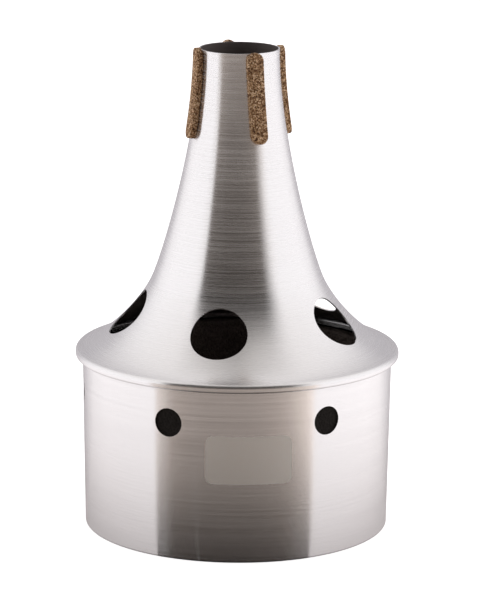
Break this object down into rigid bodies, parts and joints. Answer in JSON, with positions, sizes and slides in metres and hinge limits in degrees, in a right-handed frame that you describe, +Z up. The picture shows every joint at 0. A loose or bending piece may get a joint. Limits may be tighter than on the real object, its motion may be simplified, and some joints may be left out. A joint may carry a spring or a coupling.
{
  "type": "trombone bucket mute",
  "caption": "Bucket mute for a trombone: a spun aluminium horn with cork strips at its throat, seamed to a round foam-lined bucket with ports.",
  "frame": {"origin": "middle of the bucket's floor, on the surface that the mute stands on", "axes": "+Z up along the horn to its open mouth, -Y to the side of the bucket that carries the plate"},
  "size_m": [0.1756, 0.1756, 0.2623],
  "materials": {
    "horn_aluminium": "brushed round the axis",
    "bucket_aluminium": "brushed round the axis",
    "cork": "sanded composition cork",
    "foam": "open-cell black foam"
  },
  "bodies": {
    "root": {"horn": "horn_aluminium", "bucket": "bucket_aluminium", "cork_strip_1": "cork", "cork_strip_2": "cork", "cork_strip_3": "cork", "cork_strip_4": "cork", "foam_liner": "foam", "foam_pad": "foam"}
  },
  "joints": []
}
